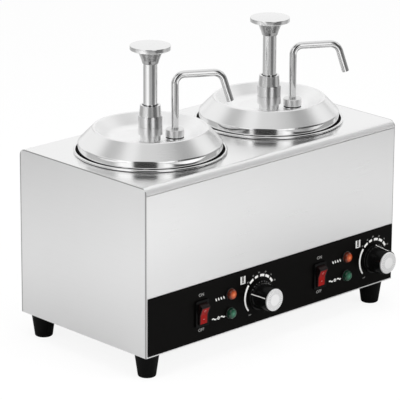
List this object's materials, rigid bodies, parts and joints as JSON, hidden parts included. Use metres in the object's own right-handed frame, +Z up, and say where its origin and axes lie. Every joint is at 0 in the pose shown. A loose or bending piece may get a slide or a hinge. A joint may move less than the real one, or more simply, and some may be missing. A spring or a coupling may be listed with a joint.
{
  "type": "hot topping warmer",
  "caption": "Countertop warmer with round heated pots, raised-ring lids, plunger pumps with swivel spouts, rocker switches and thermostat knobs in a stainless casing.",
  "frame": {"origin": "on the floor under the middle of the object's box, knobs and cord gland included", "axes": "+X to the right seen from the front, +Y to the back, +Z up"},
  "size_m": [0.445, 0.27, 0.39],
  "materials": {
    "stainless": "brushed stainless sheet",
    "polished": "polished stainless",
    "lid_steel": "bright pressed stainless",
    "pot_steel": "satin stainless",
    "spring_steel": "bright spring wire",
    "fascia_black": "satin black",
    "knob_black": "fine matt black",
    "cap_silver": "spun aluminium",
    "switch_black": "black moulding",
    "rocker_red": "dark red translucent",
    "lens_amber": "amber lens",
    "lens_green": "green lens",
    "foot_rubber": "matt black rubber",
    "seal_rubber": "black food-grade seal",
    "piston_plastic": "white plastic",
    "gland_plastic": "black nylon",
    "terminal_plastic": "cream moulding",
    "thermostat_body": "brown moulding",
    "heater_alloy": "cast alloy",
    "insulation_wool": "mineral wool",
    "screw_steel": "stainless screw"
  },
  "bodies": {
    "casing": {"top_deck": "stainless", "front_panel": "stainless", "back_panel": "stainless", "left_side_panel": "stainless", "right_side_panel": "stainless", "base_tray": "stainless", "control_fascia": "fascia_black", "rubber_feet": "foot_rubber", "foot_screws": "screw_steel", "casing_screws": "screw_steel", "cord_gland": "gland_plastic", "terminal_block": "terminal_plastic", "heater_plates": "heater_alloy", "well_insulation": "insulation_wool", "lamp_bodies": "switch_black", "heat_lenses": "lens_amber", "power_lenses": "lens_green", "left_well": "stainless", "left_thermostat": "thermostat_body", "left_switch_housing": "switch_black", "right_well": "stainless", "right_thermostat": "thermostat_body", "right_switch_housing": "switch_black"},
    "left_pot": {"left_pot": "pot_steel"},
    "left_lid": {"left_lid": "lid_steel", "left_pump_barrel": "polished", "left_pump_lock_ring": "polished", "left_pump_cap_nut": "polished", "left_valve_block": "polished", "left_valve_balls": "polished", "left_riser_tube": "polished", "left_spout_seal": "seal_rubber", "left_spout_nut": "polished", "left_return_spring": "spring_steel"},
    "left_plunger": {"left_plunger_rod": "polished", "left_piston": "piston_plastic", "left_press_knob": "polished"},
    "left_spout": {"left_spout_tube": "polished"},
    "left_knob": {"left_dial_knob": "knob_black", "left_dial_cap": "cap_silver"},
    "left_rocker": {"left_rocker": "rocker_red"},
    "right_pot": {"right_pot": "pot_steel"},
    "right_lid": {"right_lid": "lid_steel", "right_pump_barrel": "polished", "right_pump_lock_ring": "polished", "right_pump_cap_nut": "polished", "right_valve_block": "polished", "right_valve_balls": "polished", "right_riser_tube": "polished", "right_spout_seal": "seal_rubber", "right_spout_nut": "polished", "right_return_spring": "spring_steel"},
    "right_plunger": {"right_plunger_rod": "polished", "right_piston": "piston_plastic", "right_press_knob": "polished"},
    "right_spout": {"right_spout_tube": "polished"},
    "right_knob": {"right_dial_knob": "knob_black", "right_dial_cap": "cap_silver"},
    "right_rocker": {"right_rocker": "rocker_red"}
  },
  "joints": [
    {"name": "left_pot_lift", "type": "slide", "parent": "casing", "child": "left_pot", "axis": [0, 0, 1], "range_m": [0, 0.135]},
    {"name": "left_lid_lift", "type": "slide", "parent": "left_pot", "child": "left_lid", "axis": [0, 0, 1], "range_m": [0, 0.125]},
    {"name": "left_plunger_press", "type": "slide", "parent": "left_lid", "child": "left_plunger", "axis": [0, 0, 1], "range_m": [-0.028, 0], "stiffness_N_per_m": 400, "springref_m": 0.03, "deforming": ["left_return_spring"]},
    {"name": "left_spout_swivel", "type": "hinge", "parent": "left_lid", "child": "left_spout", "pos_m": [-0.07829, -0.0035, 0.3494], "axis": [0, 0, 1], "range_deg": [-100, 100]},
    {"name": "left_knob_turn", "type": "hinge", "parent": "casing", "child": "left_knob", "pos_m": [-0.02625, -0.1068, 0.0695], "axis": [0, 1, 0], "range_deg": [-59, 132]},
    {"name": "left_rocker_tip", "type": "hinge", "parent": "casing", "child": "left_rocker", "pos_m": [-0.129, -0.1063, 0.07], "axis": [1, 0, 0], "range_deg": [-24, 0]},
    {"name": "right_pot_lift", "type": "slide", "parent": "casing", "child": "right_pot", "axis": [0, 0, 1], "range_m": [0, 0.135]},
    {"name": "right_lid_lift", "type": "slide", "parent": "right_pot", "child": "right_lid", "axis": [0, 0, 1], "range_m": [0, 0.125]},
    {"name": "right_plunger_press", "type": "slide", "parent": "right_lid", "child": "right_plunger", "axis": [0, 0, 1], "range_m": [-0.028, 0], "stiffness_N_per_m": 400, "springref_m": 0.03, "deforming": ["right_return_spring"]},
    {"name": "right_spout_swivel", "type": "hinge", "parent": "right_lid", "child": "right_spout", "pos_m": [0.13371, -0.0035, 0.3494], "axis": [0, 0, 1], "range_deg": [-100, 100]},
    {"name": "right_knob_turn", "type": "hinge", "parent": "casing", "child": "right_knob", "pos_m": [0.18575, -0.1068, 0.0695], "axis": [0, 1, 0], "range_deg": [-136, 55]},
    {"name": "right_rocker_tip", "type": "hinge", "parent": "casing", "child": "right_rocker", "pos_m": [0.083, -0.1063, 0.07], "axis": [1, 0, 0], "range_deg": [-24, 0]}
  ]
}
